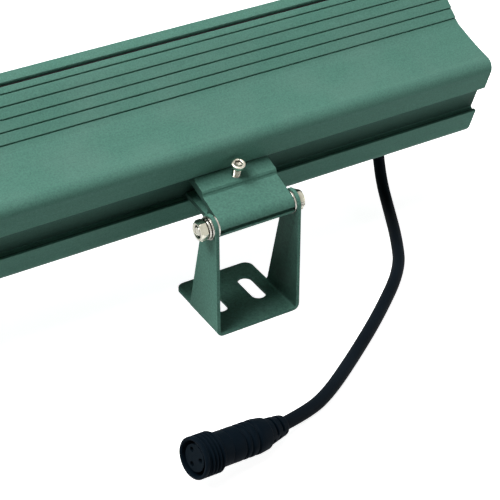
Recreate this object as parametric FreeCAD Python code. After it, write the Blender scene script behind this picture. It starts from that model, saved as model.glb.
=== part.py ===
import FreeCAD, Part
import os
from math import acos, atan2, cos, degrees, hypot, pi, radians, sin, tan
from FreeCAD import Placement, Rotation, Vector

os.makedirs("parts", exist_ok=True)

# Outdoor linear wall washer on two swivel brackets, in millimetres.
# Frame: X runs along the lamp, +Y away from the viewer (the way the light goes), +Z up.
# The origin is the middle of the right-hand foot's underside.
# Sections of the lamp are drawn in its own tilted frame (u, w): u runs back from the lower
# front corner of the housing's lip, w runs up, and the whole lamp is then nodded by `tilt`.

# ---- stance ----
tilt = 19.0                 # nod of the lamp, as it stands
lamp_length = 1000.0
bracket_inset = 130.0       # from the housing's end to the middle of a bracket
running_gap = 0.3           # between pieces that slide or swing past each other
thread_gap = 0.05           # radial, between a screw and its tapped hole

# ---- bent foot (yoke) ----
foot_width = 40.0
foot_depth = 40.0
sheet = 1.5
bend_inner = 1.5
pivot_height = 52.0         # bolt axis above the mounting face
ear_top_radius = 5.5        # round top of the ear, about the bolt; its front edge is upright
ear_root = 24.4             # depth of the ear where it meets the foot
tail_corner = 4.0           # rounded rear corners of the foot
slot_width = 6.6
slot_length = 18.0
slot_pitch = 19.0           # across the foot
slot_back = 2.0             # slot's middle behind the foot's middle

# ---- pivot set ----
bolt_size = 5.0
ear_hole_clearance = 0.1    # radial
pivot_clearance = 0.05      # radial, bolt in the arm's bore
hex_flats = 8.0
bolt_head_height = 3.1
head_turned = 15.0          # as the spanner left the head and the nut, from a corner upright
nut_height = 3.6
nut_turned = 37.0
bolt_short = 0.2            # thread's end inside the nut's face
washer_size = 10.0
washer_thick = 0.9
spring_washer_size = 9.0
spring_washer_thick = 1.2
spring_washer_split = 0.8
hex_turned = 0.9            # height over which a hexagon's corners are turned off
hex_face_inset = 0.2        # outer face's radius short of half the flats
side_play = 0.1             # arm to washer, each side

# ---- clamp arm ----
arm_reach = 20.66           # bolt axis ahead of the lip's corner, along u
arm_drop = 7.10             # and below it, along w
nose_radius = 4.8
nose_slot = 1.8             # open slot in the extruded nose
nose_slot_rise = 0.9        # its middle above the bolt axis
plate_thick = 2.1
strip_depth = 8.3           # thick strip that takes the jack screw, ahead of the lip's corner
strip_top = 0.4             # its top below the lip's corner
arm_web = 1.9               # behind the nose
leg_thick = 2.0
leg_knee = 10.0             # where the lower leg starts to slope, ahead of the lip's corner
leg_knee_drop = 11.0
hook_thick = 1.2
arm_blend = 0.8             # bevels of the arm's inner and outer corners

# ---- jack screw ----
jack_size = 3.5
jack_ahead = 4.4            # ahead of the lip's corner
jack_head_size = 5.9
jack_head_height = 1.9
jack_head_bevel = 0.3
jack_stand_off = 5.3        # shank that shows between strip and head
jack_socket_flats = 2.8
jack_socket_depth = 1.3
jack_tip_size = 2.6
jack_tip_length = 1.2

# ---- housing section ----
wall = 2.4
lip_height = 14.5
lip_round = 4.5
shelf_fall = 1.0            # the shelf dips behind the lip
shelf_dip_depth = 18.0      # the dip ends here
shelf_dip_sag = 0.3         # share of the fall that is left at the dip's middle
slope_foot = 28.0
foot_blend = 1.3            # soft bend on both sides of the slope's foot
slope_angle = 24.5
first_ridge = 3.2
ridge_pitch = 5.0
ridge_count = 5
lap_angle = 4.2             # each lap lies flatter than the slope by this
lap_notch = 0.45
lap_notch_depth = 0.35
mouth_depth = 51.5          # u of the housing's front rim
body_drop = 31.4            # underside below the lip's corner
belly_round = 7.0

# ---- clamping channel under the lip ----
channel_depth = 3.5
channel_roof = 5.0          # height of its sloped roof
rail_drop = 14.5            # top of the rail below the lip's corner
rail_lip = 1.4
rail_groove = 0.9           # depth of the groove behind the rail's lip

# ---- light window ----
glass_thick = 4.0
seal_thick = 1.2
seat_step = 3.65            # from the housing's rim back to the face that the seal lies on
seat_flange = 4.0
seat_flange_thick = 2.0
mouth_wall = 3.4            # metal above the strip's tongue
tongue_slot = 2.1
tongue_reach = 3.3          # slot's depth behind the rim
ledge = 1.4                 # metal between the tongue's slot and the glass
glass_edge_gap = 0.3
glass_end_gap = 1.0
strip_thick = 3.65
seam_sunk = 0.8             # filler in the seam between rim and strip, below the surface
strip_overlap = 4.0         # strip over the glass
strip_bevel = 1.5

# ---- light engine ----
engine_depth = 10.65        # from the seal's face back to the wall that carries the board
board_thick = 1.6
board_height = 30.0
led_count = 24
led_size = 3.5
led_height = 0.7
lens_foot_radius = 7.5
lens_rim_radius = 10.0
lens_height = 5.6
lens_rim = 0.8              # straight rim of a bowl
lens_flange = 1.0
lens_well_radius = 4.2
lens_well_depth = 2.4
lens_web_width = 9.0
driver_length = 150.0
driver_height = 25.0
driver_bevel = 2.0
driver_clear = 4.1          # from the channel's inner wall to its near side
driver_port_clear = 0.2     # from its far side to the web's screw ports
driver_from_end = 480.0     # from the housing's right end

# ---- end closures, sunk in the housing's mouth ----
end_recess = 3.0
end_plate_thick = 4.0
end_gasket_thick = 1.5
port_radius = 3.6           # screw ports run the whole length in the driver's compartment
port_bite = 0.2             # how far a port melts into its wall
port_rise = 15.0            # the web's lower port above the underside
end_screw_size = 3.5
end_screw_length = 12.0
end_screw_head_size = 6.0
end_screw_head_height = 2.2
end_hole_clearance = 0.15   # radial, screws in the end plates

# ---- cable, its gland and the plug's place ----
cable_size = 5.5
gland_from_end = 28.1       # from the housing's right end
gland_from_web = 8.7        # from the board's wall to the gland's axis
gland_thread_size = 10.0
gland_flange_size = 13.0
gland_flange_thick = 1.6
gland_nose_length = 3.0
gland_nose_size = 9.0
gland_nose_taper = 0.8      # radial, along the nose
gland_nut_flats = 13.0
gland_nut_height = 3.0
first_run = 14.5
route_floor = cable_size / 2
route_chosen = [(101.7, 41.4, 20.6), (99.2, 33.7, 9.1), (95.2, 21.8, route_floor),
                (84.4, 0.0, route_floor), (71.7, -21.2, route_floor),
                (44.8, -43.8, route_floor), (21.0, -61.2, route_floor),
                (-1.0, -76.0, route_floor), (-14.4, -81.8, 3.4), (-29.6, -86.2, 5.6)]
plug_bearing = 189.1        # way the plug points, from +X towards +Y
plug_pitch = 10.4           # and upwards

# ---- plug ----
sleeve_length = 10.5
sleeve_end_radius = 4.2
sleeve_root_radius = 5.5
sleeve_tip_bevel = 0.35
sleeve_overlap = 1.5        # runs on into the grip
sleeve_slots = [3.1, 6.7]   # middles of the two rows of slots
sleeve_slot_width = 1.5
sleeve_slot_depth = 1.6
sleeve_bridge = 2.6         # what is left between two slots of a row
grip_length = 19.5
grip_root_radius = 7.35
grip_end_radius = 7.0
grip_start_radius = 5.9
grip_shoulder = 4.5         # the taper behind the grip's body
grip_grooves = [6.9, 10.3, 13.1]
grip_groove_width = 0.9
grip_groove_depth = 0.6
collar_length = 4.4
collar_radius = 7.0
thread_length = 9.3
thread_radius = 8.15
thread_bevel = 0.5
bore_radius = 6.85
bore_depth = 6.0
insert_radius = 5.2
insert_recess = 1.3
insert_key_width = 1.6
insert_key_height = 0.9
pole_count = 3
pole_circle = 3.35
pole_radius = 1.0
pole_depth = 5.0
pole_floor = 0.6            # what is left under a pole's socket at least
pole_turn = 13.0

# ---- places worked out from the sizes above ----
slope = radians(slope_angle)
shelf_w = lip_height - shelf_fall
pivot_y = -foot_depth / 2 + ear_top_radius
lip_y = pivot_y + arm_reach * cos(radians(tilt)) - arm_drop * sin(radians(tilt))
lip_z = pivot_height + arm_reach * sin(radians(tilt)) + arm_drop * cos(radians(tilt))
right_end = bracket_inset
left_end = right_end - lamp_length
left_bracket = left_end + bracket_inset
arm_width = foot_width - 2 * (sheet + washer_thick + side_play)
seat_depth = mouth_depth - seat_step
web_depth = seat_depth - engine_depth
gland_x = right_end - gland_from_end
gland_depth = web_depth - gland_from_web
cable_start_w = -body_drop + gland_nut_height
glass_back = seat_depth + seal_thick
glass_front = glass_back + glass_thick
strip_front = glass_front + strip_thick
web_front = web_depth + wall
end_pocket = end_recess + end_plate_thick + end_gasket_thick
plug_axis = Vector(cos(radians(plug_bearing)) * cos(radians(plug_pitch)),
                   sin(radians(plug_bearing)) * cos(radians(plug_pitch)),
                   sin(radians(plug_pitch)))


def slope_w(u):
    # height of the ribbed slope's mean line
    return shelf_w + (u - slope_foot) * tan(slope)


def on_slope(along, lift=0.0):
    # point at a distance along the slope from its foot, lifted square to it
    return (slope_foot + along * cos(slope) - lift * sin(slope),
            shelf_w + along * sin(slope) + lift * cos(slope))


port_in = port_radius - port_bite
web_port_u = web_depth - port_in
inner_knee = slope_foot + wall * tan(slope / 2)
web_port_w = shelf_w - wall + (web_port_u - inner_knee) * tan(slope) - port_in / cos(slope)
port_sites = [(wall + port_in, shelf_w - wall - port_in),
              (belly_round - port_bite * 3, -body_drop + wall + port_in),
              (web_port_u, web_port_w), (web_port_u, -body_drop + port_rise)]
pocket_top = slope_w(mouth_depth) - mouth_wall - tongue_slot - ledge
pocket_bottom = -body_drop + mouth_wall + tongue_slot + ledge
glass_top = pocket_top - glass_edge_gap
glass_bottom = pocket_bottom + glass_edge_gap
window_middle = (glass_top + glass_bottom) / 2


# ---- drawing helpers ----
def turn(centre, radius, start, end):
    # an arc as (middle point, end point), angles in degrees
    middle = radians((start + end) / 2)
    last = radians(end)
    return ((centre[0] + radius * cos(middle), centre[1] + radius * sin(middle)),
            (centre[0] + radius * cos(last), centre[1] + radius * sin(last)))


def section(path, x):
    # closed face in the plane X = x; a step is a point, or an arc's middle and end
    first = Vector(x, path[0][0], path[0][1])
    here = first
    edges = []
    for step in path[1:]:
        if isinstance(step[0], tuple):
            middle = Vector(x, step[0][0], step[0][1])
            there = Vector(x, step[1][0], step[1][1])
            edges.append(Part.Arc(here, middle, there).toShape())
        else:
            there = Vector(x, step[0], step[1])
            if here.distanceToPoint(there) < 1e-6:
                continue
            edges.append(Part.makeLine(here, there))
        here = there
    if here.distanceToPoint(first) > 1e-6:
        edges.append(Part.makeLine(here, first))
    return Part.Face(Part.Wire(edges))


def bar(path, x_from, x_to):
    return section(path, x_from).extrude(Vector(x_to - x_from, 0, 0))


def rod(radius, start, end):
    along = end - start
    return Part.makeCylinder(radius, along.Length, start, along)


def tube(outer, inner, start, end):
    return rod(outer, start, end).cut(rod(inner, start, end))


def hexagon(flats, start, height, axis, turned_by=0.0):
    corner = flats / 2 / cos(pi / 6)
    angles = [radians(turned_by + 60 * k) for k in range(7)]
    points = [Vector(corner * cos(angle), corner * sin(angle), 0) for angle in angles]
    solid = Part.Face(Part.makePolygon(points)).extrude(Vector(0, 0, height))
    solid.Placement = Placement(start, Rotation(Vector(0, 0, 1), axis))
    return solid


def spun(profile, start, axis):
    # solid of revolution; the profile is a list of (distance along the axis, radius)
    points = [Vector(radius, 0, along) for along, radius in profile]
    face = Part.Face(Part.makePolygon(points + [points[0]]))
    solid = face.revolve(Vector(0, 0, 0), Vector(0, 0, 1), 360)
    solid.Placement = Placement(start, Rotation(Vector(0, 0, 1), axis))
    return solid


def in_lamp(solid):
    # from the lamp's own frame to where it stands
    moved = solid.copy()
    moved.Placement = Placement(Vector(0, lip_y, lip_z), Rotation(Vector(1, 0, 0), tilt)) * moved.Placement
    return moved


def lamp_point(x, u, w):
    return Placement(Vector(0, lip_y, lip_z), Rotation(Vector(1, 0, 0), tilt)).multVec(Vector(x, u, w))


def moved_x(solid, x):
    copy = solid.copy()
    copy.translate(Vector(x, 0, 0))
    return copy


def block(x_from, x_to, u_from, u_to, w_from, w_to):
    return Part.makeBox(x_to - x_from, u_to - u_from, w_to - w_from, Vector(x_from, u_from, w_from))


def save(name, shape):
    shape.exportStep("parts/" + name + ".step")


# ---- housing ----
def lap_points():
    # ship-lap teeth up the slope: each face lies a little flat, then a fine notch and a step
    fall = ridge_pitch * tan(radians(lap_angle))
    points = []
    for k in range(ridge_count):
        ridge = first_ridge + k * ridge_pitch
        points.append(on_slope(ridge - lap_notch, -fall))
        points.append(on_slope(ridge - lap_notch, -fall - lap_notch_depth))
        points.append(on_slope(ridge, -fall - lap_notch_depth))
        points.append(on_slope(ridge))
    return points


def foot_bend():
    # from the shelf into the first lap
    first = lap_points()[0]
    rise = degrees(atan2(first[1] - shelf_w, first[0] - slope_foot))
    radius = foot_blend / tan(radians(rise / 2))
    return turn((slope_foot - foot_blend, shelf_w + radius), radius, 270, 270 + rise)


def housing_outline():
    tongue_top = slope_w(mouth_depth) - mouth_wall
    tongue_low = -body_drop + mouth_wall
    slot_back_u = mouth_depth - tongue_reach
    path = [(0, 0), (0, lip_height - lip_round)]
    path.append(turn((lip_round, lip_height - lip_round), lip_round, 180, 90))
    dip = ((lip_round + shelf_dip_depth) / 2, shelf_w + shelf_fall * shelf_dip_sag)
    path.append((dip, (shelf_dip_depth, shelf_w)))
    path.append((slope_foot - foot_blend, shelf_w))
    path.append(foot_bend())
    path += lap_points()
    path += [(mouth_depth, slope_w(mouth_depth)), (mouth_depth, tongue_top),
             (slot_back_u, tongue_top), (slot_back_u, tongue_top - tongue_slot),
             (mouth_depth, tongue_top - tongue_slot), (mouth_depth, pocket_top),
             (seat_depth, pocket_top), (seat_depth, pocket_bottom), (mouth_depth, pocket_bottom),
             (mouth_depth, tongue_low + tongue_slot), (slot_back_u, tongue_low + tongue_slot),
             (slot_back_u, tongue_low), (mouth_depth, tongue_low), (mouth_depth, -body_drop),
             (belly_round, -body_drop)]
    path.append(turn((belly_round, belly_round - body_drop), belly_round, 270, 180))
    path += [(0, -rail_drop), (rail_lip, -rail_drop), (rail_lip, -rail_drop - rail_groove),
             (channel_depth, -rail_drop - rail_groove), (channel_depth, -channel_roof)]
    return path


def rear_room(grow=0.0, far=web_depth):
    # driver compartment's outline; `far` reaches to the window's flanges for the end pockets
    roof_lean = hypot(channel_depth, channel_roof)
    inner = wall + channel_depth - grow
    near = wall - grow
    # the sloped wall over the channel, moved inwards by the wall's thickness
    shift = (wall - grow) * roof_lean / channel_depth
    lean = channel_roof / channel_depth
    base = -body_drop + wall - grow
    shoulder = -rail_drop - rail_groove - wall + grow
    top = shelf_w - wall + grow
    knee = slope_foot + (wall - grow) * tan(slope / 2)
    inner_round = max(lip_round - wall + grow, 0.5)
    belly = belly_round - wall + grow
    path = [(near, shift - lean * near), (near, top - inner_round)]
    path.append(turn((near + inner_round, top - inner_round), inner_round, 180, 90))
    path += [(knee, top), (far, top + (far - knee) * tan(slope)), (far, base),
             (belly_round, base)]
    path.append(turn((belly_round, belly_round - body_drop), belly, 270, 180))
    path += [(near, shoulder), (inner, shoulder), (inner, shift - lean * inner)]
    return path


def lens_room():
    flange_back = seat_depth - seat_flange_thick
    base = -body_drop + wall
    lift = wall / cos(slope)
    return [(web_front, base), (flange_back, base), (flange_back, pocket_bottom + seat_flange),
            (seat_depth + 1, pocket_bottom + seat_flange), (seat_depth + 1, pocket_top - seat_flange),
            (flange_back, pocket_top - seat_flange), (flange_back, slope_w(flange_back) - lift),
            (web_front, slope_w(web_front) - lift)]


def make_housing():
    flange_back = seat_depth - seat_flange_thick
    body = bar(housing_outline(), left_end, right_end)
    room = bar(rear_room(), left_end, right_end)
    for u, w in port_sites:
        room = room.cut(rod(port_radius, Vector(left_end, u, w), Vector(right_end, u, w)))
    body = body.cut(room.fuse(bar(lens_room(), left_end, right_end)))
    for x_from, x_to in ((left_end, left_end + end_pocket), (right_end - end_pocket, right_end)):
        body = body.cut(bar(rear_room(far=flange_back), x_from, x_to))
    hole = end_screw_size / 2 + thread_gap
    for u, w in port_sites:
        body = body.cut(rod(hole, Vector(left_end, u, w), Vector(right_end, u, w)))
    body = body.cut(rod(gland_thread_size / 2 + thread_gap, Vector(gland_x, gland_depth, -body_drop - 1),
                        Vector(gland_x, gland_depth, -body_drop + wall + 1)))
    return body


def end_outline():
    # the end plate fills the mouth, with a tongue between the window's flanges
    flange_back = seat_depth - seat_flange_thick - running_gap
    plate = rear_room(-running_gap, flange_back)
    tongue = [(flange_back - 1, pocket_bottom + seat_flange + running_gap),
              (seat_depth, pocket_bottom + seat_flange + running_gap),
              (seat_depth, pocket_top - seat_flange - running_gap),
              (flange_back - 1, pocket_top - seat_flange - running_gap)]
    return plate, tongue


def make_end_slab(x, thickness, hole):
    plate, tongue = end_outline()
    slab = bar(plate, x, x + thickness).fuse(bar(tongue, x, x + thickness)).removeSplitter()
    for u, w in port_sites:
        slab = slab.cut(rod(hole, Vector(x - 1, u, w), Vector(x + thickness + 1, u, w)))
    return slab


def make_end_set(x_end, way):
    # way is +1 at the right end and -1 at the left
    outer = x_end - way * end_recess
    inner = outer - way * end_plate_thick
    deep = inner - way * end_gasket_thick
    hole = end_screw_size / 2 + end_hole_clearance
    plate = make_end_slab(min(outer, inner), end_plate_thick, hole)
    gasket = make_end_slab(min(inner, deep), end_gasket_thick, hole)
    frame = rear_room(-wall - running_gap, web_depth - wall)
    gasket = gasket.cut(bar(frame, min(inner, deep) - 1, max(inner, deep) + 1).cut(
        Part.makeCompound([rod(port_radius, Vector(min(inner, deep) - 1, u, w),
                               Vector(max(inner, deep) + 1, u, w)) for u, w in port_sites])))
    screws = []
    for u, w in port_sites:
        shank = rod(end_screw_size / 2, Vector(outer, u, w), Vector(outer - way * end_screw_length, u, w))
        head = rod(end_screw_head_size / 2, Vector(outer, u, w),
                   Vector(outer + way * end_screw_head_height, u, w))
        screws.append(shank.fuse(head).removeSplitter())
    return plate, gasket, Part.makeCompound(screws)


# ---- window ----
def make_glass_strip(upper):
    # flat bar over the glass's edge, with a tongue that slides in the housing's slot
    tongue = tongue_slot - 2 * running_gap
    tip = mouth_depth - tongue_reach + running_gap
    if upper:
        low = slope_w(mouth_depth) - mouth_wall - tongue_slot + running_gap
        path = [(glass_front, slope_w(glass_front)), (strip_front, slope_w(strip_front)),
                (strip_front, glass_top - strip_overlap + strip_bevel),
                (strip_front - strip_bevel, glass_top - strip_overlap),
                (glass_front, glass_top - strip_overlap), (glass_front, low), (tip, low),
                (tip, low + tongue), (glass_front, low + tongue)]
    else:
        high = -body_drop + mouth_wall + tongue_slot - running_gap
        path = [(glass_front, -body_drop), (strip_front, -body_drop),
                (strip_front, glass_bottom + strip_overlap - strip_bevel),
                (strip_front - strip_bevel, glass_bottom + strip_overlap),
                (glass_front, glass_bottom + strip_overlap), (glass_front, high), (tip, high),
                (tip, high - tongue), (glass_front, high - tongue)]
    return bar(path, left_end, right_end)


def make_seam_seals():
    # rubber filler over each strip's tongue, a little below the surface
    tongue = tongue_slot - 2 * running_gap
    low = slope_w(mouth_depth) - mouth_wall - tongue_slot + running_gap + tongue
    high = -body_drop + mouth_wall + tongue_slot - running_gap - tongue
    top = block(left_end, right_end, mouth_depth, glass_front, low, slope_w(mouth_depth) - seam_sunk)
    bottom = block(left_end, right_end, mouth_depth, glass_front, -body_drop + seam_sunk, high)
    return top, bottom


def make_glass():
    return block(left_end + glass_end_gap, right_end - glass_end_gap, glass_back, glass_front,
                 glass_bottom, glass_top)


def make_seal():
    ring = block(left_end + glass_end_gap, right_end - glass_end_gap, seat_depth, glass_back,
                 glass_bottom, glass_top)
    clear = block(left_end + end_pocket, right_end - end_pocket, seat_depth - 1, glass_back + 1,
                  pocket_bottom + seat_flange, pocket_top - seat_flange)
    return ring.cut(clear)


# ---- light engine ----
def led_places():
    pitch = (lamp_length - 2 * end_pocket) / led_count
    return [left_end + end_pocket + pitch * (k + 0.5) for k in range(led_count)]


def make_board():
    return block(left_end + end_pocket + 1, right_end - end_pocket - 1, web_front,
                 web_front + board_thick, window_middle - board_height / 2,
                 window_middle + board_height / 2)


def make_chips():
    base = web_front + board_thick
    half = led_size / 2
    return Part.makeCompound([block(x - half, x + half, base, base + led_height,
                                    window_middle - half, window_middle + half)
                              for x in led_places()])


def make_lens_bar():
    # one moulded strip: a thin web that lies on the board, with a bowl over every chip
    base = web_front + board_thick
    axis = Vector(0, 1, 0)
    web = block(left_end + end_pocket + 2, right_end - end_pocket - 2, base, base + lens_flange,
                window_middle - lens_web_width / 2, window_middle + lens_web_width / 2)
    bowls = []
    for x in led_places():
        at = Vector(x, base, window_middle)
        profile = [(0, lens_well_radius), (0, lens_foot_radius), (lens_height - lens_rim, lens_rim_radius),
                   (lens_height, lens_rim_radius), (lens_height, 0), (lens_well_depth, 0)]
        bowls.append(spun(profile, at, axis))
        web = web.cut(rod(lens_foot_radius - 1, at - axis, at + axis * 3))
    return web.fuse(bowls).removeSplitter()


def make_driver():
    end = right_end - driver_from_end
    near = channel_depth + wall + driver_clear
    far = web_port_u - port_radius - driver_port_clear
    box = block(end - driver_length, end, near, far, -body_drop + wall, -body_drop + wall + driver_height)
    edges = [edge for edge in box.Edges
             if abs(edge.BoundBox.XLength - driver_length) < 0.01
             and edge.BoundBox.ZMin > -body_drop + wall + driver_height - 0.01]
    return box.makeChamfer(driver_bevel, edges)


# ---- gland and cable ----
def make_gland():
    down = Vector(0, 0, -1)
    top = -body_drop + wall + gland_nut_height
    bore = cable_size / 2
    thread = gland_thread_size / 2
    length = top + body_drop
    profile = [(0, bore), (0, thread), (length, thread), (length, gland_flange_size / 2),
               (length + gland_flange_thick, gland_flange_size / 2),
               (length + gland_flange_thick, gland_nose_size / 2),
               (length + gland_flange_thick + gland_nose_length, gland_nose_size / 2 - gland_nose_taper),
               (length + gland_flange_thick + gland_nose_length, bore)]
    return spun(profile, Vector(gland_x, gland_depth, top), down)


def make_gland_nut():
    base = Vector(gland_x, gland_depth, -body_drop + wall)
    nut = hexagon(gland_nut_flats, base, gland_nut_height, Vector(0, 0, 1))
    return nut.cut(rod(gland_thread_size / 2 + thread_gap, base, base + Vector(0, 0, gland_nut_height)))


def cable_route():
    # the first two points lie on the gland's axis
    start = lamp_point(gland_x, gland_depth, cable_start_w)
    second = lamp_point(gland_x, gland_depth, cable_start_w - first_run)
    return [start, second] + [Vector(*point) for point in route_chosen]


def make_cable():
    # straight runs joined by tangent arcs, each as large as its two runs allow
    route = cable_route()
    edges = []
    here = route[0]
    length = 0.0
    radii = []
    for k in range(1, len(route) - 1):
        before = route[k] - route[k - 1]
        after = route[k + 1] - route[k]
        set_back = 0.45 * min(before.Length, after.Length)
        before.normalize()
        after.normalize()
        angle = acos(max(-1.0, min(1.0, before.dot(after))))
        radius = set_back / tan(angle / 2)
        radii.append(round(radius, 1))
        enter = route[k] - before * set_back
        leave = route[k] + after * set_back
        inward = after - before
        inward.normalize()
        middle = route[k] + inward * (radius / cos(angle / 2) - radius)
        edges.append(Part.LineSegment(here, enter).toShape())
        edges.append(Part.Arc(enter, middle, leave).toShape())
        length += here.distanceToPoint(enter) + radius * angle
        here = leave
    edges.append(Part.LineSegment(here, route[-1]).toShape())
    length += here.distanceToPoint(route[-1])
    path = Part.Wire(edges)
    ring = Part.Wire(Part.makeCircle(cable_size / 2, route[0], route[1] - route[0]))
    solid = path.makePipeShell([ring], True, True)
    print("cable radii", radii)
    print("cable length %.1f, volume over section x length %.4f"
          % (length, solid.Volume / (pi * (cable_size / 2) ** 2 * length)))
    return solid


# ---- plug ----
def plug_root():
    # where the grip starts, and the way the bending sleeve runs
    route = cable_route()
    way = route[-1] - route[-2]
    way.normalize()
    return route[-1] + way * sleeve_length, way


def make_grip():
    # moulded grip with three grooves, ending in the collar's socket
    root = plug_root()[0]
    profile = [(0, 0), (0, grip_start_radius), (grip_shoulder, grip_root_radius)]
    taper = (grip_end_radius - grip_root_radius) / (grip_length - grip_shoulder)
    for middle in grip_grooves:
        for along, sunk in ((-0.5, 0), (-0.3, 1), (0.3, 1), (0.5, 0)):
            place = middle + along * grip_groove_width
            surface = grip_root_radius + taper * (place - grip_shoulder)
            profile.append((place, surface - sunk * grip_groove_depth))
    profile += [(grip_length, grip_end_radius), (grip_length, 0)]
    return spun(profile, root, plug_axis)


def make_shell():
    base = plug_root()[0] + plug_axis * grip_length
    total = collar_length + thread_length
    profile = [(0, 0), (0, collar_radius), (collar_length, collar_radius),
               (collar_length, thread_radius - thread_bevel),
               (collar_length + thread_bevel, thread_radius),
               (total - thread_bevel, thread_radius), (total, thread_radius - thread_bevel),
               (total, bore_radius), (total - bore_depth, bore_radius), (total - bore_depth, 0)]
    return spun(profile, base, plug_axis)


def make_insert():
    # socket insert with its poles and a key rib, standing free in the shell's bore
    total = collar_length + thread_length
    base = plug_root()[0] + plug_axis * (grip_length + total - bore_depth)
    height = bore_depth - insert_recess
    solid = Part.makeCylinder(insert_radius, height)
    key = Part.makeBox(insert_key_width, insert_key_height + 0.5, height,
                       Vector(-insert_key_width / 2, insert_radius - 0.5, 0))
    solid = solid.fuse(key).removeSplitter()
    for k in range(pole_count):
        angle = radians(pole_turn + 360.0 * k / pole_count)
        floor = max(height - pole_depth, pole_floor)
        at = Vector(pole_circle * cos(angle), pole_circle * sin(angle), floor)
        solid = solid.cut(Part.makeCylinder(pole_radius, pole_depth + 1, at))
    # local X is level and towards the viewer, local Y is up
    level = Vector(0, 0, 1).cross(plug_axis)
    level.normalize()
    upward = plug_axis.cross(level)
    solid.Placement = Placement(base, Rotation(level, upward, plug_axis, "ZXY"))
    return solid


def make_sleeve(grip):
    # bending sleeve: a cone with two rows of slots, every other row turned by a quarter
    root, way = plug_root()
    start = root - way * sleeve_length
    rise = (sleeve_root_radius - sleeve_end_radius) / sleeve_length
    end = sleeve_length + sleeve_overlap
    profile = [(0, 0), (0, sleeve_end_radius - sleeve_tip_bevel), (sleeve_tip_bevel, sleeve_end_radius),
               (sleeve_length, sleeve_root_radius), (end, sleeve_root_radius), (end, 0)]
    solid = spun(profile, start, way)
    for row, middle in enumerate(sleeve_slots):
        radius = sleeve_end_radius + rise * middle
        ring = Part.makeCylinder(radius + 1, sleeve_slot_width).cut(
            Part.makeCylinder(radius - sleeve_slot_depth, sleeve_slot_width))
        bridge = Part.makeBox(2 * radius + 4, sleeve_bridge, sleeve_slot_width,
                              Vector(-radius - 2, -sleeve_bridge / 2, 0))
        if row % 2:
            bridge.rotate(Vector(0, 0, 0), Vector(0, 0, 1), 90)
        slots = ring.cut(bridge)
        slots.Placement = Placement(start + way * (middle - sleeve_slot_width / 2),
                                    Rotation(Vector(0, 0, 1), way))
        solid = solid.cut(slots)
    return solid.cut(grip)


# ---- bracket pieces, drawn about X = 0 ----
def trough(half, bottom, top, radius):
    # block as deep as the foot, with both lower edges rounded
    box = block(-half, half, -foot_depth / 2, foot_depth / 2, bottom, top)
    edges = [edge for edge in box.Edges
             if edge.BoundBox.YLength > foot_depth - 0.01 and edge.BoundBox.ZMax < bottom + 0.01]
    return box.makeFillet(radius, edges)


def make_yoke():
    outer = foot_width / 2
    inner = outer - sheet
    top = pivot_height + ear_top_radius + 1
    front = -foot_depth / 2
    back = foot_depth / 2
    # U of sheet, bent up at both sides
    channel = trough(outer, 0, top, bend_inner + sheet).cut(trough(inner, sheet, top + 1, bend_inner))
    # side view of the ears: upright front edge, round top, straight back edge to the root
    root_y = front + ear_root
    away = hypot(root_y - pivot_y, pivot_height)
    swing = degrees(atan2(-pivot_height, root_y - pivot_y)) + degrees(acos(ear_top_radius / away))
    side = [(front, 0), (front, pivot_height)]
    side.append(turn((pivot_y, pivot_height), ear_top_radius, 180, swing))
    slant = (root_y - pivot_y - ear_top_radius * cos(radians(swing))) / (
        pivot_height + ear_top_radius * sin(radians(swing)))
    side += [(root_y - slant * sheet, sheet), (root_y, sheet), (root_y, 0)]
    # behind the ears the foot is flat and narrower by the sheet, with rounded rear corners
    tail = block(-inner, inner, root_y - sheet, back, 0, sheet)
    corners = [edge for edge in tail.Edges
               if edge.BoundBox.ZLength > sheet - 0.01 and edge.BoundBox.YMin > back - 0.01]
    yoke = channel.common(bar(side, -outer, outer)).fuse(tail.makeFillet(tail_corner, corners))
    half = (slot_length - slot_width) / 2
    for way in (-1, 1):
        x = way * slot_pitch / 2
        slot = block(x - slot_width / 2, x + slot_width / 2, slot_back - half, slot_back + half,
                     -1, sheet + 1)
        for end in (-half, half):
            slot = slot.fuse(rod(slot_width / 2, Vector(x, slot_back + end, -1),
                                 Vector(x, slot_back + end, sheet + 1)))
        yoke = yoke.cut(slot)
    hole = bolt_size / 2 + ear_hole_clearance
    yoke = yoke.cut(rod(hole, pivot_at(-outer - 1), pivot_at(outer + 1)))
    return yoke.removeSplitter()


def pivot_at(x):
    return Vector(x, pivot_y, pivot_height)


def turned(height, start, axis):
    # the outer corners of a bolt's head or a nut are turned off
    corner = hex_flats / 2 / cos(pi / 6)
    return spun([(0, 0), (0, hex_flats), (height - hex_turned, corner),
                 (height, hex_flats / 2 - hex_face_inset), (height, 0)], start, axis)


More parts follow.
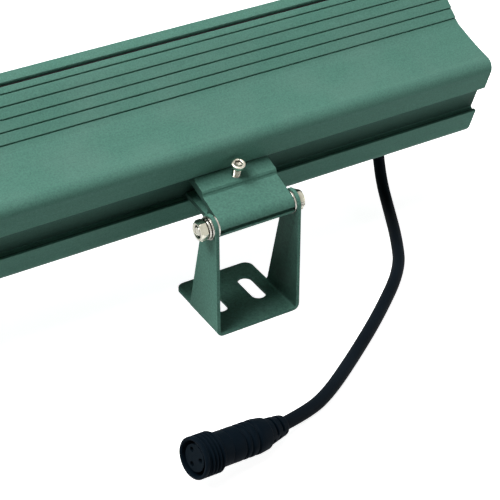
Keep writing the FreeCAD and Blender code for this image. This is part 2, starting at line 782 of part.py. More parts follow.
def make_pivot_set():
    side = Vector(1, 0, 0)
    face = foot_width / 2
    inner = face - sheet
    hole = bolt_size / 2 + ear_hole_clearance
    nut_side = -face - washer_thick - spring_washer_thick
    bolt_end = nut_side - nut_height + bolt_short
    head = hexagon(hex_flats, pivot_at(face), bolt_head_height, side, head_turned)
    shank = rod(bolt_size / 2, pivot_at(face), pivot_at(bolt_end))
    bolt = head.common(turned(bolt_head_height, pivot_at(face), side)).fuse(shank).removeSplitter()
    nut = hexagon(hex_flats, pivot_at(nut_side), nut_height, side * -1, nut_turned)
    nut = nut.common(turned(nut_height, pivot_at(nut_side), side * -1))
    thread = bolt_size / 2 + thread_gap
    nut = nut.cut(rod(thread, pivot_at(nut_side - nut_height - 1), pivot_at(nut_side + 1)))
    spring = tube(spring_washer_size / 2, hole, pivot_at(nut_side), pivot_at(nut_side + spring_washer_thick))
    split = block(nut_side - 1, nut_side + spring_washer_thick + 1, -spring_washer_split / 2,
                  spring_washer_split / 2, 0, spring_washer_size)
    split.translate(Vector(0, pivot_y, pivot_height))
    spring = spring.cut(split)
    washers = []
    for x_from in (-face - washer_thick, -inner, inner - washer_thick):
        washers.append(tube(washer_size / 2, hole, pivot_at(x_from), pivot_at(x_from + washer_thick)))
    return bolt, nut, spring, Part.makeCompound(washers)


def roof_u(w, gap):
    # the channel's sloped roof, moved towards the arm by a gap
    roof_lean = hypot(channel_depth, channel_roof)
    return -gap * roof_lean / channel_roof - w * channel_depth / channel_roof


def make_arm():
    # extruded arm: slotted nose about the bolt, plate with a thick strip, hollow, hooked leg
    nose = (-arm_reach, -arm_drop)
    plate_top = -arm_drop + nose_radius
    plate_low = plate_top - plate_thick
    web_u = nose[0] + nose_radius + arm_web
    hook_u = rail_lip + running_gap
    hook_back = hook_u + hook_thick
    leg_end = -rail_drop + running_gap
    leg_slope = (leg_end + leg_knee_drop) / (hook_u + leg_knee)
    hook_low = -rail_drop - rail_groove + running_gap
    leg_top = leg_thick * hypot(1, leg_slope)
    blend = arm_blend

    def leg_w(u):
        return -leg_knee_drop + (u + leg_knee) * leg_slope

    path = [(nose[0], plate_top), (-strip_depth - blend, plate_top),
            (-strip_depth, plate_top + blend), (-strip_depth, -strip_top - blend),
            (-strip_depth + blend, -strip_top), (roof_u(-strip_top, running_gap), -strip_top),
            (roof_u(plate_low, running_gap), plate_low), (web_u + blend, plate_low),
            (web_u, plate_low - blend), (web_u, leg_w(web_u) + leg_top + blend),
            (web_u + blend, leg_w(web_u + blend) + leg_top), (hook_back, leg_w(hook_back) + leg_top),
            (hook_back, hook_low), (hook_u, hook_low), (hook_u, leg_end), (-leg_knee, -leg_knee_drop),
            (nose[0], nose[1] - nose_radius)]
    path.append(turn(nose, nose_radius, 270, 90))
    half = arm_width / 2
    arm = bar(path, -half, half)
    bore = bolt_size / 2 + pivot_clearance
    arm = arm.cut(rod(bore, Vector(-half - 1, nose[0], nose[1]), Vector(half + 1, nose[0], nose[1])))
    slot_mid = nose[1] + nose_slot_rise
    arm = arm.cut(block(-half - 1, half + 1, nose[0] - nose_radius - 1, nose[0],
                        slot_mid - nose_slot / 2, slot_mid + nose_slot / 2))
    tapped = jack_size / 2 + thread_gap
    arm = arm.cut(rod(tapped, Vector(0, -jack_ahead, plate_low - 1), Vector(0, -jack_ahead, 1)))
    seat = leg_w(-jack_ahead) + leg_top
    return in_lamp(arm), seat


def make_jack_screw(seat):
    # socket cap screw through the strip; its tip bears on the lower leg
    under = -strip_top + jack_stand_off
    tip = seat + thread_gap + jack_tip_size / 2 * abs(tan(radians(leg_fall())))
    at = Vector(0, -jack_ahead, tip)
    up = Vector(0, 0, 1)
    shank = jack_size / 2
    head = jack_head_size / 2
    length = under - tip
    profile = [(0, 0), (0, jack_tip_size / 2), (jack_tip_length, jack_tip_size / 2),
               (jack_tip_length, shank), (length, shank), (length, head),
               (length + jack_head_height - jack_head_bevel, head),
               (length + jack_head_height, head - jack_head_bevel),
               (length + jack_head_height, 0)]
    screw = spun(profile, at, up)
    socket = hexagon(jack_socket_flats, Vector(0, -jack_ahead, under + jack_head_height - jack_socket_depth),
                     jack_socket_depth + 1, up)
    return in_lamp(screw.cut(socket))


def leg_fall():
    # angle of the lower leg below the plate
    hook_u = rail_lip + running_gap
    leg_end = -rail_drop + running_gap
    return degrees(atan2(leg_end + leg_knee_drop, hook_u + leg_knee))


# ---- build ----
def main():
    save("housing", in_lamp(make_housing()))
    for name, x_end, way in (("right", right_end, 1), ("left", left_end, -1)):
        plate, gasket, screws = make_end_set(x_end, way)
        save("end_plate_" + name, in_lamp(plate))
        save("end_gasket_" + name, in_lamp(gasket))
        save("end_screws_" + name, in_lamp(screws))
    save("glass_strip_top", in_lamp(make_glass_strip(True)))
    save("glass_strip_bottom", in_lamp(make_glass_strip(False)))
    for name, seal in zip(("top", "bottom"), make_seam_seals()):
        save("seam_seal_" + name, in_lamp(seal))
    save("front_glass", in_lamp(make_glass()))
    save("glass_seal", in_lamp(make_seal()))
    save("led_board", in_lamp(make_board()))
    save("led_chips", in_lamp(make_chips()))
    save("lens_bar", in_lamp(make_lens_bar()))
    save("driver", in_lamp(make_driver()))
    save("cable_gland", in_lamp(make_gland()))
    save("gland_nut", in_lamp(make_gland_nut()))
    save("cable", make_cable())
    grip = make_grip()
    save("plug_grip", grip)
    save("plug_shell", make_shell())
    save("plug_insert", make_insert())
    save("strain_relief", make_sleeve(grip))
    arm, seat = make_arm()
    pieces = {"clamp_arm": arm, "clamp_screw": make_jack_screw(seat), "yoke": make_yoke()}
    bolt, nut, spring, washers = make_pivot_set()
    pieces.update({"pivot_bolt": bolt, "pivot_nut": nut, "spring_washer": spring, "flat_washers": washers})
    for name, x in (("right", 0.0), ("left", left_bracket)):
        for piece, solid in pieces.items():
            save(piece + "_" + name, moved_x(solid, x))


main()
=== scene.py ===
import math
import bpy
import numpy as np
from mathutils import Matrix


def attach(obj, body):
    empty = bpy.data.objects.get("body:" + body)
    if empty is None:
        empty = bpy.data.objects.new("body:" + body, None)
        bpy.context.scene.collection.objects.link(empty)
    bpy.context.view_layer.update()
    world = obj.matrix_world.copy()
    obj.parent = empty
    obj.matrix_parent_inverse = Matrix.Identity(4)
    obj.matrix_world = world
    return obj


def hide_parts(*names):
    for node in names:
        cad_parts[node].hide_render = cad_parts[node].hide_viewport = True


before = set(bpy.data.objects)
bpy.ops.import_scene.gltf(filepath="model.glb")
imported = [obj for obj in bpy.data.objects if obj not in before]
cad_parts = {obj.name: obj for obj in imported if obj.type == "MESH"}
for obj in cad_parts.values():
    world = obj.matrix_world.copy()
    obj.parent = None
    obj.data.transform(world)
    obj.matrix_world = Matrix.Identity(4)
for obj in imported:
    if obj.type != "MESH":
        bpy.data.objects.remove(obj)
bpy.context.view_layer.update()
mm = 0.001
print("frame in place:", len(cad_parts), "nodes")


# the shot: a long lens from the front left, looking down on the right-hand bracket
shot = {"azimuth": -30.63, "elevation": 34.64, "spot": (-0.2738, -0.4751, 0.4043), "lens": 113.79,
        "sensor": 36.0, "near": 0.02, "far": 30.0}


def placeCamera():
    # tipped up from straight down by 90 degrees less the elevation, then turned by the azimuth
    lens = bpy.data.cameras.new("shotCamera")
    lens.sensor_width = shot["sensor"]
    lens.lens = shot["lens"]
    lens.clip_start = shot["near"]
    lens.clip_end = shot["far"]
    camera = bpy.data.objects.new("shotCamera", lens)
    camera.location = shot["spot"]
    camera.rotation_euler = (math.radians(90 - shot["elevation"]), 0, math.radians(shot["azimuth"]))
    bpy.context.scene.collection.objects.link(camera)
    bpy.context.scene.camera = camera


placeCamera()
print("camera placed")


# the lamp's own section: u runs back from the lip's lower corner, w runs up, both nodded by the tilt
lamp = {"lip": (0.0, 2.7229, 65.4394), "tilt": 19.0, "rightEnd": 130.0, "leftEnd": -870.0}
nod = math.radians(lamp["tilt"])
backward = np.array([0.0, math.cos(nod), math.sin(nod)])
upward = np.array([0.0, -math.sin(nod), math.cos(nod)])


def lampPoint(x, u, w):
    # the lip's corner plus u along the backward way and w along the upward way, in millimetres
    return np.array([x, 0.0, 0.0]) + np.array(lamp["lip"]) + backward * u + upward * w


def gridFaces(rows, columns, aroundRows, aroundColumns):
    # each grid cell is one face: the point, its neighbour on the ring, and the same two on the next ring
    index = np.arange(rows * columns).reshape(rows, columns)
    if aroundColumns:
        index = np.hstack([index, index[:, :1]])
    if aroundRows:
        index = np.vstack([index, index[:1]])
    cells = np.stack([index[:-1, :-1], index[:-1, 1:], index[1:, 1:], index[1:, :-1]], axis=-1)
    return cells.reshape(-1, 4)


def facingOut(grid, ends):
    # each face's cross product times its distance from the middle sums to a volume; a negative one is turned round
    if ends in ("sheet", "loop"):
        return grid
    flat = grid.reshape(-1, 3) - grid.reshape(-1, 3).mean(axis=0)
    corners = flat[gridFaces(*grid.shape[:2], ends == "ring", True)]
    across = np.cross(corners[:, 2] - corners[:, 0], corners[:, 3] - corners[:, 1])
    return grid if np.sum(across * corners.mean(axis=1)) > 0 else grid[:, ::-1]


def addPiece(name, grids, body, material, crease=32.0):
    # joins grids of points, in millimetres, into one mesh; a fan closes each open end of a closed grid
    points, faces, count = [], [], 0
    for grid, ends in grids:
        grid = facingOut(grid, ends)
        rows, columns = grid.shape[:2]
        points.append(grid.reshape(-1, 3))
        faces += (gridFaces(rows, columns, ends == "ring", ends != "sheet") + count).tolist()
        if ends == "closed":
            ringStart = np.arange(columns) + count
            ringEnd = ringStart + (rows - 1) * columns
            first = count + rows * columns
            points.append(np.array([grid[0].mean(axis=0), grid[-1].mean(axis=0)]))
            faces += np.stack([np.full(columns, first), np.roll(ringStart, -1), ringStart], axis=-1).tolist()
            faces += np.stack([np.full(columns, first + 1), ringEnd, np.roll(ringEnd, -1)], axis=-1).tolist()
        count = sum(len(part) for part in points)
    mesh = bpy.data.meshes.new(name)
    mesh.from_pydata((np.vstack(points) * mm).tolist(), [], faces)
    mesh.shade_smooth()
    mesh.set_sharp_from_angle(angle=math.radians(crease))
    mesh.materials.append(material)
    piece = bpy.data.objects.new(name, mesh)
    bpy.context.scene.collection.objects.link(piece)
    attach(piece, body)
    return piece


def aimed(axis):
    # level way, upward way and axis, all square to each other
    axis = np.array(axis, float) / np.linalg.norm(axis)
    level = np.cross((0.0, 0.0, 1.0), axis)
    level = level / np.linalg.norm(level)
    return level, np.cross(axis, level), axis


def ringAngles(sides):
    return np.arange(sides) * 2 * math.pi / sides


def carried(along, radii, spot, axis, turn=0.0):
    # point = spot + axis times the ring's place + (level cos a + up sin a) times the ring's radius at a
    level, rising, axis = aimed(axis)
    angles = ringAngles(radii.shape[1]) + math.radians(turn)
    spokes = np.outer(np.cos(angles), level) + np.outer(np.sin(angles), rising)
    return np.array(spot) + np.asarray(along)[:, None, None] * axis + radii[:, :, None] * spokes


def hexRadius(sides, flats):
    # distance to a hexagon's side: half the flats over the cosine of the angle from the side's middle
    angles = ringAngles(sides)
    return flats / 2 / np.cos((angles + math.pi / 6) % (math.pi / 3) - math.pi / 6)


def rounded(corners, radius, steps=4):
    # each corner of the profile is cut by a parabola that starts and ends a radius away from it
    corners = np.array(corners, float)
    before = corners[:-2] - corners[1:-1]
    after = corners[2:] - corners[1:-1]
    reachBefore = np.minimum(radius, 0.45 * np.linalg.norm(before, axis=1))[:, None]
    reachAfter = np.minimum(radius, 0.45 * np.linalg.norm(after, axis=1))[:, None]
    start = corners[1:-1] + before / np.linalg.norm(before, axis=1)[:, None] * reachBefore
    end = corners[1:-1] + after / np.linalg.norm(after, axis=1)[:, None] * reachAfter
    t = np.linspace(0, 1, steps)[None, :, None]
    curve = (1 - t) ** 2 * start[:, None] + 2 * t * (1 - t) * corners[1:-1][:, None] + t ** 2 * end[:, None]
    return np.vstack([corners[:1], curve.reshape(-1, 2), corners[-1:]])


def threadWave(along, sides, pitch):
    # 1 on the crest and 0 in the root of a helix: a flattened triangle wave of along / pitch - turn
    turns = ringAngles(sides)[None, :] / (2 * math.pi)
    phase = (along[:, None] / pitch - turns) % 1.0
    return np.clip(1.7 * (1 - np.abs(2 * phase - 1)) - 0.25, 0, 1)


def feed(tree, socket, value):
    if isinstance(value, bpy.types.NodeSocket):
        tree.links.new(value, socket)
    else:
        socket.default_value = value


def maths(tree, operation, first, second=0.0, clamp=False):
    node = tree.nodes.new("ShaderNodeMath")
    node.operation = operation
    node.use_clamp = clamp
    feed(tree, node.inputs[0], first)
    feed(tree, node.inputs[1], second)
    return node.outputs[0]


def mixed(tree, amount, first, second, blend="MIX"):
    node = tree.nodes.new("ShaderNodeMix")
    node.data_type = "RGBA"
    node.blend_type = blend
    feed(tree, node.inputs[0], amount)
    feed(tree, node.inputs[6], first)
    feed(tree, node.inputs[7], second)
    return node.outputs[2]


def spread(tree, value, low, high, newLow, newHigh):
    node = tree.nodes.new("ShaderNodeMapRange")
    for socket, number in zip(node.inputs[:5], (value, low, high, newLow, newHigh)):
        feed(tree, socket, number)
    return node.outputs[0]


def noise(tree, scale, detail=2.0, stretch=(1.0, 1.0, 1.0), rough=0.5):
    # noise read in object metres; stretch squeezes the pattern along an axis
    place = tree.nodes.new("ShaderNodeTexCoord").outputs["Object"]
    if stretch != (1.0, 1.0, 1.0):
        mapping = tree.nodes.new("ShaderNodeMapping")
        mapping.inputs["Scale"].default_value = stretch
        tree.links.new(place, mapping.inputs["Vector"])
        place = mapping.outputs["Vector"]
    node = tree.nodes.new("ShaderNodeTexNoise")
    tree.links.new(place, node.inputs["Vector"])
    feed(tree, node.inputs["Scale"], scale)
    node.inputs["Detail"].default_value = detail
    node.inputs["Roughness"].default_value = rough
    return node.outputs["Fac"]


def newGroup(name, inputs, outputs):
    group = bpy.data.node_groups.new(name, "ShaderNodeTree")
    for label, value in inputs:
        group.interface.new_socket(label, in_out="INPUT", socket_type="NodeSocketFloat").default_value = value
    for label, kind in outputs:
        group.interface.new_socket(label, in_out="OUTPUT", socket_type="NodeSocket" + kind)
    return group, group.nodes.new("NodeGroupInput").outputs, group.nodes.new("NodeGroupOutput").inputs


def useGroup(tree, group, **values):
    node = tree.nodes.new("ShaderNodeGroup")
    node.node_tree = group
    for label, value in values.items():
        feed(tree, node.inputs[label], value)
    return node.outputs


def makeSandGrain():
    # height = two noises, one 2.6 times finer, added; tone = slow noise over a hand's width
    group, given, out = newGroup("sandGrain", [("scale", 2200.0)], [("height", "Float"), ("tone", "Float")])
    coarse = noise(group, given["scale"], 1.5)
    fine = noise(group, maths(group, "MULTIPLY", given["scale"], 2.6), 1.0)
    height = maths(group, "ADD", maths(group, "MULTIPLY", coarse, 0.65), maths(group, "MULTIPLY", fine, 0.35))
    group.links.new(height, out["height"])
    group.links.new(noise(group, 14.0, 3.0, (1.0, 2.0, 2.0), 0.55), out["tone"])
    return group


def makeSoftEdge():
    # normal = the normal averaged over a radius; edge = how far it turns from the face's own, broken by noise
    group, given, out = newGroup("softEdge", [("radius", 0.0004), ("gain", 5.0)],
                                 [("normal", "Vector"), ("edge", "Float")])
    bevel = group.nodes.new("ShaderNodeBevel")
    bevel.samples = 6
    group.links.new(given["radius"], bevel.inputs["Radius"])
    face = group.nodes.new("ShaderNodeNewGeometry").outputs["Normal"]
    dot = group.nodes.new("ShaderNodeVectorMath")
    dot.operation = "DOT_PRODUCT"
    group.links.new(bevel.outputs["Normal"], dot.inputs[0])
    group.links.new(face, dot.inputs[1])
    turned = maths(group, "SUBTRACT", 1.0, dot.outputs["Value"])
    patchy = spread(group, noise(group, 260.0, 3.0), 0.35, 0.7, 0.25, 1.0)
    edge = maths(group, "MULTIPLY", maths(group, "MULTIPLY", turned, given["gain"]), patchy, True)
    group.links.new(bevel.outputs["Normal"], out["normal"])
    group.links.new(edge, out["edge"])
    return group


def makeSettledDust():
    # mask = how far the face looks up, times a cloudy noise
    group, given, out = newGroup("settledDust", [("reach", 0.5)], [("mask", "Float")])
    face = group.nodes.new("ShaderNodeNewGeometry").outputs["Normal"]
    split = group.nodes.new("ShaderNodeSeparateXYZ")
    group.links.new(face, split.inputs[0])
    facing = spread(group, split.outputs["Z"], 0.2, 1.0, 0.0, 1.0)
    cloud = spread(group, noise(group, 45.0, 4.0), 0.4, 0.75, 0.0, 1.0)
    settled = maths(group, "MULTIPLY", facing, cloud)
    group.links.new(maths(group, "MULTIPLY", settled, given["reach"], True), out["mask"])
    return group


def makeSectionPlace():
    # u, w in millimetres = the point less the lip's corner, times the lamp's backward and upward directions
    group, given, out = newGroup("sectionPlace", [("inMillimetres", 1000.0)], [("u", "Float"), ("w", "Float")])
    place = group.nodes.new("ShaderNodeTexCoord").outputs["Object"]
    fromLip = group.nodes.new("ShaderNodeVectorMath")
    fromLip.operation = "SUBTRACT"
    group.links.new(place, fromLip.inputs[0])
    fromLip.inputs[1].default_value = [part * mm for part in lamp["lip"]]
    for label, way in (("u", backward), ("w", upward)):
        reach = group.nodes.new("ShaderNodeVectorMath")
        reach.operation = "DOT_PRODUCT"
        group.links.new(fromLip.outputs[0], reach.inputs[0])
        reach.inputs[1].default_value = way.tolist()
        group.links.new(maths(group, "MULTIPLY", reach.outputs["Value"], given["inMillimetres"]), out[label])
    return group


def makeDrawnLines():
    # long streaks along the lamp: noise squeezed 60 times across it
    group, given, out = newGroup("drawnLines", [("scale", 14.0)], [("streak", "Float")])
    group.links.new(noise(group, given["scale"], 3.0, (0.35, 60.0, 60.0), 0.6), out["streak"])
    return group


sandGrain = makeSandGrain()
softEdge = makeSoftEdge()
settledDust = makeSettledDust()
drawnLines = makeDrawnLines()
sectionPlace = makeSectionPlace()


def newFinish(name, **plain):
    material = bpy.data.materials.new(name)
    material.use_nodes = True
    shader = material.node_tree.nodes["Principled BSDF"]
    labels = {"colour": "Base Color", "metal": "Metallic", "rough": "Roughness", "shine": "Specular IOR Level",
              "through": "Transmission Weight", "ior": "IOR"}
    for key, value in plain.items():
        shader.inputs[labels[key]].default_value = value
    return material, material.node_tree, shader.inputs


def bumped(tree, height, strength, distance, normal=None):
    bump = tree.nodes.new("ShaderNodeBump")
    bump.inputs["Strength"].default_value = strength
    bump.inputs["Distance"].default_value = distance
    feed(tree, bump.inputs["Height"], height)
    if normal is not None:
        tree.links.new(normal, bump.inputs["Normal"])
    return bump.outputs["Normal"]


# the channel, crown, inside, end and base numbers set painted shade and painted light in the coat's colour
coat = {"colour": (0.096, 0.232, 0.182, 1), "deep": (0.085, 0.209, 0.164, 1), "edge": (0.17, 0.33, 0.27, 1),
        "dust": (0.30, 0.38, 0.35, 1), "rough": (0.46, 0.60), "channelPaintedShade": 0.66, "crownPaintedLight": 1.24,
        "insidePaintedShade": 0.62, "endPaintedShade": 0.6, "feetApart": 0.74,
        "basePaintedShade": 0.28}


def channelShade(tree):
    # shade = 1, less a painted shade that grows down the channel's back wall, and a little painted light on the crown
    # by the far edge
    place = useGroup(tree, sectionPlace, inMillimetres=1000.0)
    inward = maths(tree, "MULTIPLY", spread(tree, place["u"], 0.2, 1.4, 0.0, 1.0),
                   spread(tree, place["u"], 4.1, 4.3, 1.0, 0.0))
    down = maths(tree, "MULTIPLY", spread(tree, place["w"], -0.4, -11.0, 0.45, 1.0),
                 spread(tree, place["w"], -14.9, -14.6, 0.0, 1.0))
    below = maths(tree, "MULTIPLY", down, spread(tree, place["w"], -0.4, -0.2, 1.0, 0.0))
    dark = maths(tree, "MULTIPLY", maths(tree, "MULTIPLY", inward, below), coat["channelPaintedShade"])
    crown = spread(tree, place["w"], 21.0, 26.0, 1.0, coat["crownPaintedLight"])
    return maths(tree, "SUBTRACT", crown, dark)


def yokeShade(tree):
    # shade = 1, less a painted shade that grows down the inner sides of a foot's two ears, where the face looks to
    # its middle, and less a smaller painted shade on the sheet between them
    place = tree.nodes.new("ShaderNodeSeparateXYZ")
    tree.links.new(tree.nodes.new("ShaderNodeTexCoord").outputs["Object"], place.inputs[0])
    face = tree.nodes.new("ShaderNodeSeparateXYZ")
    tree.links.new(tree.nodes.new("ShaderNodeNewGeometry").outputs["Normal"], face.inputs[0])
    isLeft = maths(tree, "LESS_THAN", place.outputs["X"], -coat["feetApart"] / 2)
    across = maths(tree, "ADD", place.outputs["X"], maths(tree, "MULTIPLY", isLeft, coat["feetApart"]))
    inward = spread(tree, maths(tree, "MULTIPLY", across, face.outputs["X"]), -0.014, -0.006, 1.0, 0.0)
    down = spread(tree, place.outputs["Z"], 0.012, 0.050, 1.0, 0.45)
    walls = maths(tree, "MULTIPLY", maths(tree, "MULTIPLY", inward, down), coat["insidePaintedShade"])
    between = spread(tree, maths(tree, "ABSOLUTE", across), 0.0165, 0.0180, 1.0, 0.0)
    base = maths(tree, "MULTIPLY", spread(tree, face.outputs["Z"], 0.7, 0.9, 0.0, 1.0), between)
    paintedBaseShade = maths(tree, "MULTIPLY", base, coat["basePaintedShade"])
    return maths(tree, "SUBTRACT", maths(tree, "SUBTRACT", 1.0, walls), paintedBaseShade)


def armShade(tree):
    # shade = 1, less a painted shade on the sawn ends, which face along the lamp
    face = tree.nodes.new("ShaderNodeSeparateXYZ")
    tree.links.new(tree.nodes.new("ShaderNodeNewGeometry").outputs["Normal"], face.inputs[0])
    return spread(tree, maths(tree, "ABSOLUTE", face.outputs["X"]), 0.8, 0.95, 1.0, 1.0 - coat["endPaintedShade"])


def powderCoat(name, grain, relief, radius, streaks, dust, grainShadeDepth, shading=None):
    # colour = two shades of the coat by tone and streak, with painted shade in the grain's pits and painted light on
    # its crests, paler on edges (partly wear, partly painted highlight) and under dust
    material, tree, shader = newFinish(name, shine=0.07)
    sand = useGroup(tree, sandGrain, scale=grain)
    edge = useGroup(tree, softEdge, radius=radius, gain=2.6)
    line = useGroup(tree, drawnLines)
    cloud = useGroup(tree, settledDust, reach=dust)
    shade = maths(tree, "ADD", maths(tree, "MULTIPLY", sand["tone"], 1.0 - streaks),
                  maths(tree, "MULTIPLY", line["streak"], streaks))
    colour = mixed(tree, spread(tree, shade, 0.35, 0.65, 0.0, 1.0), coat["deep"], coat["colour"])
    # painted shade in the grain's pits and painted light on its crests
    grainShading = spread(tree, sand["height"], 0.3, 0.7, 1.0 - grainShadeDepth, 1.0 + grainShadeDepth * 0.9)
    colour = mixed(tree, 1.0, colour, grainShading, "MULTIPLY")
    # paler on edges: partly worn coat, partly painted highlight
    colour = mixed(tree, maths(tree, "MULTIPLY", edge["edge"], 0.5), colour, coat["edge"])
    colour = mixed(tree, cloud["mask"], colour, coat["dust"])
    # painted shade and painted light from the given shading function
    if shading:
        colour = mixed(tree, 1.0, colour, shading(tree), "MULTIPLY")
    tree.links.new(colour, shader["Base Color"])
    rough = spread(tree, sand["height"], 0.3, 0.7, *coat["rough"])
    tree.links.new(rough, shader["Roughness"])
    tree.links.new(bumped(tree, sand["height"], relief, 0.00012, edge["normal"]), shader["Normal"])
    return material


def brightSteel(name, colour, rough, spin):
    # fine turned lines in the roughness and bump, a little darker in patches, and painted shade in narrow recesses
    material, tree, shader = newFinish(name, metal=1.0)
    edge = useGroup(tree, softEdge, radius=0.00018, gain=2.0)
    turned = noise(tree, 900.0, 2.0, spin)
    stain = spread(tree, noise(tree, 420.0, 3.0), 0.35, 0.7, 0.0, 1.0)
    dull = tuple(0.62 * part for part in colour[:3]) + (1,)
    # ambient occlusion paints shade into narrow recesses, dark brown where they nearly close
    recessShade = tree.nodes.new("ShaderNodeAmbientOcclusion")
    recessShade.samples = 8
    recessShade.inputs["Distance"].default_value = 0.0022
    stained = mixed(tree, maths(tree, "MULTIPLY", stain, 0.30), colour, dull)
    unshadedShare = maths(tree, "POWER", recessShade.outputs["AO"], 1.8)
    tree.links.new(mixed(tree, unshadedShare, (0.05, 0.045, 0.035, 1), stained), shader["Base Color"])
    tree.links.new(spread(tree, turned, 0.3, 0.7, rough - 0.06, rough + 0.1), shader["Roughness"])
    tree.links.new(bumped(tree, turned, 0.25, 0.00003, edge["normal"]), shader["Normal"])
    return material


def mouldedBlack(name, colour, rough, grain, relief, radius):
    # near-black plastic: fine spark-eroded grain, slightly greyer on edges, partly from rubbing and partly as painted
    # highlight
    material, tree, shader = newFinish(name, shine=0.03)
    sand = useGroup(tree, sandGrain, scale=grain)
    edge = useGroup(tree, softEdge, radius=radius, gain=2.5)
    pale = tuple(min(1.0, 3.5 * part + 0.006) for part in colour[:3]) + (1,)
    tinted = mixed(tree, spread(tree, sand["tone"], 0.35, 0.7, 0.0, 0.2), colour, pale)
    # greyer on edges: partly rubbed, partly painted highlight
    tree.links.new(mixed(tree, maths(tree, "MULTIPLY", edge["edge"], 0.6), tinted, pale), shader["Base Color"])
    tree.links.new(spread(tree, sand["height"], 0.3, 0.7, rough - 0.07, rough + 0.08), shader["Roughness"])
    tree.links.new(bumped(tree, sand["height"], relief, 0.00008, edge["normal"]), shader["Normal"])
    return material


def clearPiece(name, tint, rough, ior):
    # clear glass or acrylic with the faintest smear in its polish
    material, tree, shader = newFinish(name, colour=tint, ior=ior, through=1.0)
    smear = noise(tree, 60.0, 3.0)
    tree.links.new(spread(tree, smear, 0.35, 0.75, rough, rough + 0.05), shader["Roughness"])
    return material


def flatFinish(name, colour, other, scale, rough, relief=0.1, metal=0.0, stretch=(1.0, 1.0, 1.0)):
    # two shades by noise, with the same noise as a slight relief
    material, tree, shader = newFinish(name, metal=metal)
    grain = noise(tree, scale, 3.0, stretch)
    tree.links.new(mixed(tree, spread(tree, grain, 0.35, 0.65, 0.0, 1.0), colour, other), shader["Base Color"])
    tree.links.new(spread(tree, grain, 0.3, 0.7, rough - 0.06, rough + 0.08), shader["Roughness"])
    tree.links.new(bumped(tree, grain, relief, 0.00005), shader["Normal"])
    return material


coatHousing = powderCoat("coatHousing", 1500.0, 0.30, 0.0004, 0.45, 0.10, 0.20, channelShade)
coatPlate = powderCoat("coatPlate", 1500.0, 0.30, 0.0003, 0.10, 0.08, 0.20)
coatArm = powderCoat("coatArm", 1050.0, 0.40, 0.00022, 0.10, 0.06, 0.22, armShade)
coatYoke = powderCoat("coatYoke", 950.0, 0.45, 0.00026, 0.10, 0.06, 0.30, yokeShade)
boltSteel = brightSteel("boltSteel", (0.88, 0.86, 0.74, 1), 0.17, (3.0, 0.4, 0.4))
screwSteel = brightSteel("screwSteel", (0.90, 0.87, 0.75, 1), 0.17, (0.4, 0.4, 3.0))
washerSteel = brightSteel("washerSteel", (0.86, 0.85, 0.78, 1), 0.22, (0.5, 2.0, 2.0))
plugBlack = mouldedBlack("plugBlack", (0.0022, 0.0058, 0.0100, 1), 0.55, 2600.0, 0.22, 0.0003)
insertBlack = mouldedBlack("insertBlack", (0.0035, 0.0075, 0.0115, 1), 0.6, 3000.0, 0.2, 0.0002)
jacketBlack = mouldedBlack("jacketBlack", (0.0040, 0.0070, 0.0105, 1), 0.55, 1500.0, 0.3, 0.0002)
nylonBlack = mouldedBlack("nylonBlack", (0.012, 0.013, 0.015, 1), 0.45, 2200.0, 0.15, 0.0003)
sealRubber = flatFinish("sealRubber", (0.006, 0.006, 0.007, 1), (0.009, 0.009, 0.010, 1), 900.0, 0.85, 0.3)
boardMask = flatFinish("boardMask", (0.80, 0.81, 0.78, 1), (0.74, 0.76, 0.73, 1), 220.0, 0.4, 0.05)
phosphor = flatFinish("phosphor", (0.86, 0.66, 0.12, 1), (0.92, 0.76, 0.22, 1), 1800.0, 0.35, 0.1)
caseMetal = flatFinish("caseMetal", (0.55, 0.56, 0.57, 1), (0.48, 0.49, 0.50, 1), 500.0, 0.4, 0.2, 1.0,
                       (0.1, 1.0, 1.0))
poleBrass = flatFinish("poleBrass", (0.75, 0.58, 0.28, 1), (0.62, 0.46, 0.22, 1), 1500.0, 0.3, 0.1, 1.0)
clearGlass = clearPiece("clearGlass", (0.93, 0.98, 0.96, 1), 0.0, 1.52)
clearLens = clearPiece("clearLens", (0.98, 0.98, 0.98, 1), 0.02, 1.49)
print("finishes made")


def dress(material, *names):
    for name in names:
        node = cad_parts[name]
        if not node.material_slots:
            node.data.materials.append(material)
        for slot in node.material_slots:
            slot.material = material


dress(coatHousing, "housing", "glass_strip_top", "glass_strip_bottom")
dress(coatPlate, "end_plate_right", "end_plate_left")
dress(coatArm, "clamp_arm_right", "clamp_arm_left")
dress(coatYoke, "yoke_right", "yoke_left")
dress(washerSteel, "flat_washers_right", "flat_washers_left", "spring_washer_right", "spring_washer_left")
dress(boltSteel, "pivot_bolt_right", "pivot_bolt_left", "pivot_nut_right", "pivot_nut_left")
dress(screwSteel, "clamp_screw_right", "clamp_screw_left", "end_screws_right", "end_screws_left")
dress(sealRubber, "end_gasket_right", "end_gasket_left", "glass_seal", "seam_seal_top", "seam_seal_bottom")
dress(clearGlass, "front_glass")
dress(clearLens, "lens_bar")
dress(boardMask, "led_board")
dress(phosphor, "led_chips")
dress(caseMetal, "driver")
dress(nylonBlack, "cable_gland", "gland_nut")
dress(jacketBlack, "cable")
dress(plugBlack, "plug_grip", "plug_shell", "strain_relief")
dress(insertBlack, "plug_insert")


# a bracket's fasteners: along X from the nut's side to the head's side, about the pivot's axis
pivot = {"y": -14.5, "z": 52.0, "brackets": {"right": 0.0, "left": -740.0}, "flats": 8.0, "corner": 4.619,
         "cornerDrop": 0.9, "faceRadius": 3.75, "end": -25.5, "headSeat": 20.0, "headHeight": 3.1, "headTurn": 135.0, "thread": 2.48,
         "root": 2.08, "pitch": 0.8, "threadEnd": -19.5, "nutSeat": -22.1, "nutHeight": 3.6, "nutTurn": 37.0}


def hexRows(profile, flats, sides, isHex):
    # radius = the profile's own, or the hexagon's side where that is nearer and the row belongs to the hexagon
    radii = np.repeat(profile[:, 1:], sides, axis=1)
    return np.where(np.array(isHex)[:, None], np.minimum(radii, hexRadius(sides, flats)), radii)


